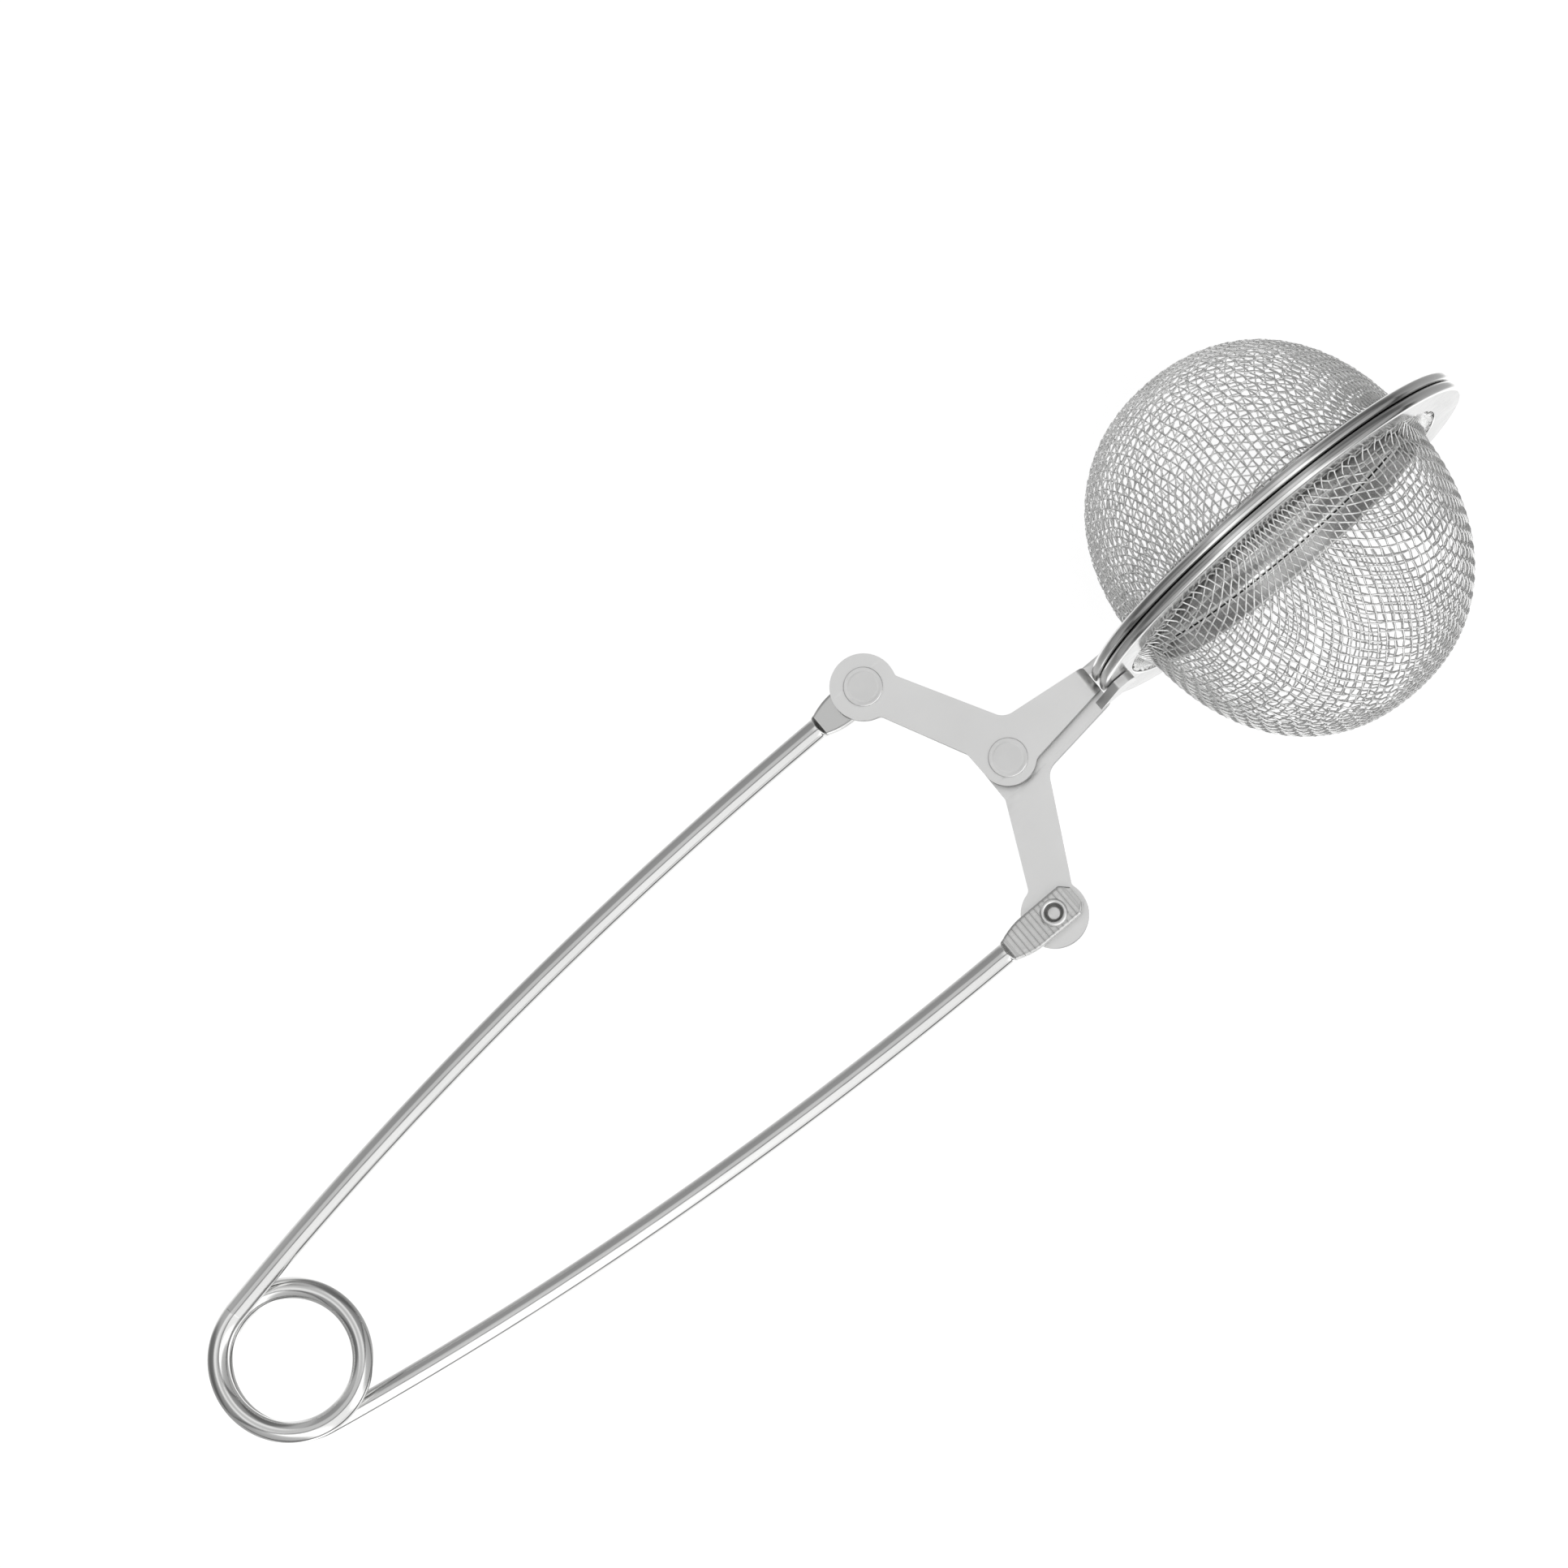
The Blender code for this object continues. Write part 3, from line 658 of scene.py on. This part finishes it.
def paddle_path():
    """Middle points and sizes of the flattened end, from past the rivet back to the round wire.
    The side away from the lever keeps the press's grooves."""
    flat = np.arange(PADDLE_BEYOND - PADDLE_CORNER, -PADDLE_BACK, -PRESS_PITCH / 10)
    corner = np.linspace(PADDLE_BEYOND, PADDLE_BEYOND - PADDLE_CORNER, CORNER_STEPS)[:-1]
    neck = np.linspace(-PADDLE_BACK, -PADDLE_BACK - PADDLE_NECK, NECK_STEPS)[:-1]
    reach = np.concatenate([corner, flat, neck])
    fade = np.clip((-PADDLE_BACK - reach) / PADDLE_NECK, 0, 1)
    ease = fade * fade * (3 - 2 * fade)
    narrow = np.clip((-PADDLE_SHOULDER - reach) / (PADDLE_BACK - PADDLE_SHOULDER), 0, 1) ** 2
    half_w = PADDLE_W / 2 - np.maximum(reach - PADDLE_BEYOND + PADDLE_CORNER, 0)
    half_w = half_w - (PADDLE_W - PADDLE_NECK_W) / 2 * narrow
    half_w = half_w + (WIRE_R - half_w) * ease
    pressed = np.clip((reach + PADDLE_BACK) / PRESS_PITCH, 0, 1)
    step = reach / PRESS_PITCH % 1
    groove = PRESS_DEPTH * np.minimum(step / PRESS_RISE, (1 - step) / (1 - PRESS_RISE)) * pressed
    half_t = PADDLE_T / 2 - groove / 2 + (WIRE_R - PADDLE_T / 2) * ease
    power = PADDLE_POWER + (ROUND - PADDLE_POWER) * ease
    middle = PADDLE_Z + groove / 2
    places = np.stack([END_RIVET.x + reach, np.full_like(reach, END_RIVET.y), middle], -1)
    return places, half_w, half_t, power


def arm_bow():
    """The start, radius and turn of the arc that leads to a tangent on the coil."""
    start = END_RIVET.x - PADDLE_BACK - PADDLE_NECK
    run = start - COIL_X
    rise = END_RIVET.y - COIL_R
    return start, COIL_R + (run ** 2 + rise ** 2) / (2 * rise), 2 * atan2(rise, run)


def coil_points(start, stop, count):
    """Points on the coil's helix, by an angle that starts at +X."""
    angle = np.linspace(start, stop, count)
    x = COIL_X + COIL_R * np.cos(angle)
    return np.stack([x, COIL_R * np.sin(angle), COIL_PITCH * (1 - angle / (2 * pi))], -1)


def arm_points():
    """Points along the upper arm, from its flattened end to the coil."""
    start, radius, turn = arm_bow()
    share = np.append(np.linspace(0, 1, ARM_STEPS)[:-1], (ARM_LAST, 1))
    top = coil_points(pi / 2 + turn, 0, 2)[0, 2]
    x = start - radius * np.sin(turn * share)
    y = END_RIVET.y - radius * (1 - np.cos(turn * share))
    return np.stack([x, y, PADDLE_Z + (top - PADDLE_Z) * share * share * (3 - 2 * share)], -1)


def wire_mesh(name, coil, coil_r):
    """One arm of the handle and the stretch of coil that goes with it, as one closed tube. The
    pressed side of its flattened end is marked for the second material."""
    places, half_w, half_t, power = paddle_path()
    flat_count = len(places)
    arm = arm_points()
    places = np.concatenate([places, arm, coil])
    half_w = np.concatenate([half_w, np.full(len(arm), WIRE_R), np.full(len(coil), coil_r)])
    half_t = np.concatenate([half_t, np.full(len(arm), WIRE_R), np.full(len(coil), coil_r)])
    power = np.concatenate([power, np.full(len(arm) + len(coil), ROUND)])
    line = places.copy()
    line[:flat_count, 2] = PADDLE_Z
    ahead = unit(np.gradient(line, axis=0))
    up = np.array([0, 0, 1.0])
    mesh = tubes(name, [section(places, ahead, up, half_w, half_t, power, WIRE_SIDES)])
    length = np.concatenate([[0], np.cumsum(np.linalg.norm(np.diff(places, axis=0), axis=1))])
    layer = mesh.uv_layers.new(name="length")
    flat_from = END_RIVET.x - PADDLE_BACK
    for polygon in mesh.polygons:
        under = polygon.normal.z < -0.5
        polygon.material_index = int(under and polygon.center.x > flat_from)
        for corner, loop in zip(polygon.vertices, polygon.loop_indices):
            ring, place = divmod(corner, WIRE_SIDES)
            layer.data[loop].uv = (length[ring], UV_HALF_W * abs(place / WIRE_SIDES - 0.5))
    return mesh


def with_hole(mesh):
    """The wire with the rivet's hole through its flattened end."""
    profile = [(0, -PADDLE_W), (HOLE_R, -PADDLE_W), (HOLE_R, PADDLE_W), (0, PADDLE_W)]
    pin = turned("pin", profile, HOLE_STEPS)
    pin.transform(Matrix.Translation(END_RIVET))
    return combined(mesh, pin, "DIFFERENCE")


def handle():
    _, _, turn = arm_bow()
    first = pi / 2 + turn
    last = 4 * pi - first

    def make(side, place):
        if side == "upper":
            coil = coil_points(first + TENON_START, first + TENON, TENON_STEPS)
            mesh = wire_mesh("upper_arm_wire", coil, TENON_R)
            nodes = ["upper_handle_wire"]
        else:
            coil = coil_points(first, last, COIL_STEPS)[1:]
            mesh = wire_mesh("lower_arm_and_coil_wire", coil, WIRE_R)
            nodes = ["lower_handle_wire", "coil_spring"]
        mesh = with_hole(mesh)
        mesh.transform(place)
        piece(mesh.name, mesh, [BRIGHT, PRESSED], side + "_handle", "bright_wire", *nodes)

    both_sides(make)


# ---------------------------------------------------------------- levers


def arc(centre, radius, start, end):
    """Points on an arc from one angle to another, both ends included."""
    count = max(1, ceil(abs(end - start) / ARC_STEP))
    angles = (start + (end - start) * i / count for i in range(count + 1))
    return [centre + Vector((cos(a), sin(a))) * radius for a in angles]


def angle_of(vector):
    return atan2(vector.y, vector.x)


def short_arc(centre, radius, first, last):
    """The arc under half a turn from one point to another."""
    start = angle_of(first - centre)
    sweep = (angle_of(last - centre) - start + pi) % (2 * pi) - pi
    return arc(centre, radius, start, start + sweep)


def rounded_corner(before, corner, after, radius):
    """A fillet arc at a corner between two straight edges."""
    back = (before - corner).normalized()
    onward = (after - corner).normalized()
    half = back.angle(onward) / 2
    centre = corner + (back + onward).normalized() * radius / sin(half)
    reach = radius * cos(half) / sin(half)
    return short_arc(centre, radius, corner + back * reach, corner + onward * reach)


def disc_fillet(point, away, outside, centre, radius, fillet):
    """The hollow fillet between a straight edge and a disc, from the edge to the disc."""
    shifted = point + outside * fillet - centre
    along = shifted.dot(away)
    apart = sqrt(along ** 2 - shifted.length_squared + (radius + fillet) ** 2)
    middle = centre + shifted + away * (apart - along)
    on_disc = centre + (middle - centre) * radius / (radius + fillet)
    return short_arc(middle, fillet, middle - outside * fillet, on_disc)


def lever_outline():
    """The upper lever round its pivot, counter-clockwise."""
    origin = Vector((0, 0))
    along = REAR.normalized()
    across = Vector((-along.y, along.x))
    front_edge = REAR - across * ARM_FRONT
    back_edge = REAR + across * ARM_BACK
    front_down = (CROTCH - front_edge).normalized()
    back_down = (HEEL - back_edge).normalized()
    tip_low = Vector((TIP_REACH, TIP_LOW))
    tip_high = Vector((TIP_REACH, TAB_LOW + LEVER_T))
    tip_back = Vector((-1, -TIP_LOW_RISE)).normalized()
    tip_outside = Vector((-tip_back.y, tip_back.x))

    front_out = Vector((-front_down.y, front_down.x))
    back_out = Vector((back_down.y, -back_down.x))
    front_notch = disc_fillet(front_edge, front_down, front_out, REAR, END_R, NOTCH_FILLET)
    back_notch = disc_fillet(back_edge, back_down, back_out, REAR, END_R, NOTCH_FILLET)
    neck = disc_fillet(tip_low, -tip_back, tip_outside, origin, BOSS_R, NECK_FILLET)
    end_start = angle_of(front_notch[-1] - REAR)
    end_stop = angle_of(back_notch[-1] - REAR) % (2 * pi)

    points = rounded_corner(neck[0], tip_low, tip_high, TIP_FILLET)
    points += rounded_corner(tip_low, tip_high, CROTCH, TIP_FILLET)
    points += rounded_corner(tip_high, CROTCH, front_notch[0], CROTCH_FILLET)
    points += front_notch[:-1]
    points += arc(REAR, END_R, end_start, end_stop)
    points += back_notch[::-1][1:]
    points += rounded_corner(back_notch[0], HEEL, Vector((-BOSS_R, 0)), HEEL_FILLET)
    points += arc(origin, BOSS_R, pi, angle_of(neck[-1]) % (2 * pi))
    points += neck[::-1][1:]
    return points


def plate(name, outline, holes, thickness, rounding):
    """A flat plate in XY, centred on z = 0, with its edges rounded."""
    curve = bpy.data.curves.new(name, "CURVE")
    curve.dimensions = "2D"
    curve.fill_mode = "BOTH"
    curve.extrude = thickness / 2
    for ring in [outline, *holes]:
        spline = curve.splines.new("POLY")
        spline.points.add(len(ring) - 1)
        for point, place in zip(spline.points, ring):
            point.co = (place.x, place.y, 0, 1)
        spline.use_cyclic_u = True
    thing = bpy.data.objects.new(name, curve)
    mesh = baked(thing)
    thing = bpy.data.objects.new(name, mesh)
    soften = thing.modifiers.new("soften", "BEVEL")
    soften.width = rounding
    soften.segments = 3
    soften.limit_method = "ANGLE"
    soften.angle_limit = radians(60)
    return baked(thing)


def tab_mesh():
    """The folded tab that is welded to the rim, lying in the XZ plane."""
    low, high = TIP_REACH - TAB_ROOT, TIP_REACH + TAB_LENGTH
    top = LAYER + LEVER_T - TAB_INSET
    bottom = LAYER + LEVER_T - TAB_WIDTH
    root, foot = Vector((low, LAYER)), Vector((TIP_REACH + TAB_SLANT, bottom))
    corners = [Vector((high, bottom)), Vector((high, top)), Vector((low, top))]
    outline = [root]
    outline += rounded_corner(root, foot, corners[0], TAB_FOOT)
    outline += rounded_corner(foot, corners[0], corners[1], TAB_CORNER)
    outline += rounded_corner(corners[0], corners[1], corners[2], TAB_CORNER)
    outline += corners[2:]
    mesh = plate("tab", outline, [], LEVER_T, TAB_ROUND)
    middle = Vector((0, TAB_LOW + LEVER_T / 2, 0))
    mesh.transform(Matrix.Translation(middle) @ Matrix.Rotation(pi / 2, 4, "X"))
    return mesh


def rounded_nose(mesh):
    """Lowers the upper face of the lever's tip towards its end."""
    work = bmesh.new()
    work.from_mesh(mesh)
    start = TIP_REACH - NOSE_LENGTH
    for k in range(NOSE_STEPS):
        cut = {
            "geom": work.verts[:] + work.edges[:] + work.faces[:],
            "plane_co": (start + NOSE_LENGTH * k / NOSE_STEPS, 0, 0),
            "plane_no": (1, 0, 0),
        }
        bmesh.ops.bisect_plane(work, dist=WELD, **cut)
    for vert in work.verts:
        if vert.co.x > start and vert.co.z > 0:
            share = vert.co.z / (LEVER_T / 2)
            vert.co.z -= NOSE_DROP * share * ((vert.co.x - start) / NOSE_LENGTH) ** 2
    bmesh.ops.triangulate(work, faces=work.faces[:])
    work.to_mesh(mesh)
    work.free()


def lever_mesh(name):
    """The upper lever about its pivot, with its tab."""
    holes = [arc(centre, HOLE_R, 0, 2 * pi)[:-1] for centre in (Vector((0, 0)), REAR)]
    mesh = plate("lever", lever_outline(), holes, LEVER_T, LEVER_ROUND)
    rounded_nose(mesh)
    mesh.transform(Matrix.Translation((0, 0, LAYER + LEVER_T / 2)))
    mesh.name = name
    return combined(mesh, tab_mesh(), "UNION")


def levers():
    def make(side, place):
        mesh = lever_mesh(side + "_lever_look")
        for polygon in mesh.polygons:
            # Side faces, except the tab's, get the dark steel of painted shade.
            side_on = abs(polygon.normal.z) < SIDE_SHADE_SLOPE
            polygon.material_index = int(side_on and polygon.center.x < TIP_REACH * 1.001)
        mesh.transform(place @ Matrix.Translation(PIVOT))
        piece(mesh.name, mesh, [SATIN, SIDE_SHADE], side + "_jaw", "satin_sheet", side + "_lever")

    both_sides(make)


# ---------------------------------------------------------------- camera, floor and surround

TILT = radians(9)  # of the view from straight above, towards the lower cup
ROLL = radians(40)  # of the handle's line, from level
VIEW_W = 170.6 * MM
LENS = 150
SENSOR = 36
OFF_CENTRE = (-24.46 * MM, -2.74 * MM)  # from the pivot to the picture's middle
CLIP_START = 0.01

FLOOR_HALF = 3.0
FLOOR_DROP = 0.2 * MM  # below the object
FLOOR_GREY = 0.3
FLOOR_GLOW = 0.84

# The surround that the steel reflects. Its tone goes by the angle in degrees from overhead,
# about the object's long axis, positive on the upper cup's side; and by how far it lies along
# that axis, from 0 to 1. BACKDROP is the even tone that the camera sees instead.
BACKDROP = 1.0
SKY_AROUND = (
    (-180, 1.1),
    (-132, 1.1),
    (-124, 0.16),
    (-110, 0.16),
    (-104, 1.1),
    (-90, 1.0),
    (-80, 1.16),
    (-20, 1.16),
    (-15, 0.3),
    (-9, 0.3),
    (-5, 0.74),
    (24, 0.72),
    (32, 0.38),
    (96, 0.36),
    (119, 0.7),
    (180, 1.1),
)
SKY_ALONG = ((0.0, 1.0), (0.14, 1.0), (0.24, 1.5), (0.42, 1.5), (0.56, 0.6), (1.0, 0.4))
SKY_SCALE = 0.5  # keeps the tones below 1 in the ramps


def camera():
    """Looks down at the object, tilted towards the lower cup and rolled so that the handle runs
    up to the right."""
    up = Vector((0, cos(TILT), sin(TILT)))
    back = Vector((0, -sin(TILT), cos(TILT)))
    level = Vector((1, 0, 0))
    right = level * cos(ROLL) - up * sin(ROLL)
    top = level * sin(ROLL) + up * cos(ROLL)
    middle = PIVOT + right * OFF_CENTRE[0] + top * OFF_CENTRE[1]
    data = bpy.data.cameras.new("camera")
    data.lens = LENS
    data.sensor_width = SENSOR
    data.clip_start = CLIP_START
    thing = bpy.data.objects.new("camera", data)
    turn = Matrix((right, top, back)).transposed().to_4x4()
    thing.matrix_world = Matrix.Translation(middle + back * VIEW_W * LENS / SENSOR) @ turn
    bpy.context.scene.collection.objects.link(thing)
    bpy.context.scene.camera = thing


def floor():
    """A pale sheet under the object. The steel reflects the surround in its place."""
    mesh = bpy.data.meshes.new("floor")
    low = cad_box[0].z - FLOOR_DROP
    square = ((-1, -1), (1, -1), (1, 1), (-1, 1))
    corners = [(x * FLOOR_HALF, y * FLOOR_HALF, low) for x, y in square]
    mesh.from_pydata(corners, [], [(0, 1, 2, 3)])
    material = bpy.data.materials.new("floor_paper")
    material.use_nodes = True
    shader = material.node_tree.nodes["Principled BSDF"]
    shader.inputs["Base Color"].default_value = (FLOOR_GREY, FLOOR_GREY, FLOOR_GREY, 1)
    shader.inputs["Emission Color"].default_value = (1, 1, 1, 1)
    shader.inputs["Emission Strength"].default_value = FLOOR_GLOW
    shader.inputs["Roughness"].default_value = 0.9
    shader.inputs["Specular IOR Level"].default_value = 0.1
    mesh.materials.append(material)
    thing = bpy.data.objects.new("floor", mesh)
    bpy.context.scene.collection.objects.link(thing)
    thing.visible_glossy = False


def ramp(tree, value, stops):
    """A tone by a value from 0 to 1, scaled by SKY_SCALE."""
    node = tree.nodes.new("ShaderNodeValToRGB")
    tree.links.new(value, node.inputs["Fac"])
    ends = node.color_ramp.elements
    for end, (place, tone) in zip(ends, (stops[0], stops[-1])):
        end.position = place
        end.color = (tone * SKY_SCALE,) * 3 + (1,)
    for place, tone in stops[1:-1]:
        ends.new(place).color = (tone * SKY_SCALE,) * 3 + (1,)
    return node.outputs["Color"]


def surround():
    """Pale light from all round, dimmer on the upper cup's side, with two dim bands that give the
    wires their dark lines. It takes the place of lamps."""
    world = bpy.data.worlds.new("surround")
    world.use_nodes = True
    tree = world.node_tree
    coordinates = tree.nodes.new("ShaderNodeTexCoord")
    split = tree.nodes.new("ShaderNodeSeparateXYZ")
    tree.links.new(coordinates.outputs["Generated"], split.inputs["Vector"])

    angle = tree.nodes.new("ShaderNodeMath")
    angle.operation = "ARCTAN2"
    tree.links.new(split.outputs["Y"], angle.inputs[0])
    tree.links.new(split.outputs["Z"], angle.inputs[1])
    share = add_node(tree, "ShaderNodeMapRange", From_Min=-pi, From_Max=pi)
    tree.links.new(angle.outputs["Value"], share.inputs["Value"])
    around = [((degrees + 180) / 360, tone) for degrees, tone in SKY_AROUND]
    across = ramp(tree, share.outputs["Result"], around)

    length = tree.nodes.new("ShaderNodeMath")
    length.operation = "ABSOLUTE"
    tree.links.new(split.outputs["X"], length.inputs[0])
    along = ramp(tree, length.outputs["Value"], SKY_ALONG)

    both = tree.nodes.new("ShaderNodeMix")
    both.data_type = "RGBA"
    both.blend_type = "MULTIPLY"
    both.inputs["Factor"].default_value = 1.0
    tree.links.new(across, both.inputs["A"])
    tree.links.new(along, both.inputs["B"])

    seen = tree.nodes.new("ShaderNodeLightPath")
    plain = tree.nodes.new("ShaderNodeMix")
    plain.data_type = "RGBA"
    plain.inputs["B"].default_value = (BACKDROP * SKY_SCALE ** 2,) * 3 + (1,)
    tree.links.new(seen.outputs["Is Camera Ray"], plain.inputs["Factor"])
    tree.links.new(both.outputs["Result"], plain.inputs["A"])
    tree.links.new(plain.outputs["Result"], tree.nodes["Background"].inputs["Color"])
    tree.nodes["Background"].inputs["Strength"].default_value = 1 / SKY_SCALE ** 2
    bpy.context.scene.world = world


cups()
rims()
rivets()
handle()
levers()
floor()
camera()
surround()
bpy.context.scene.view_settings.view_transform = "Standard"
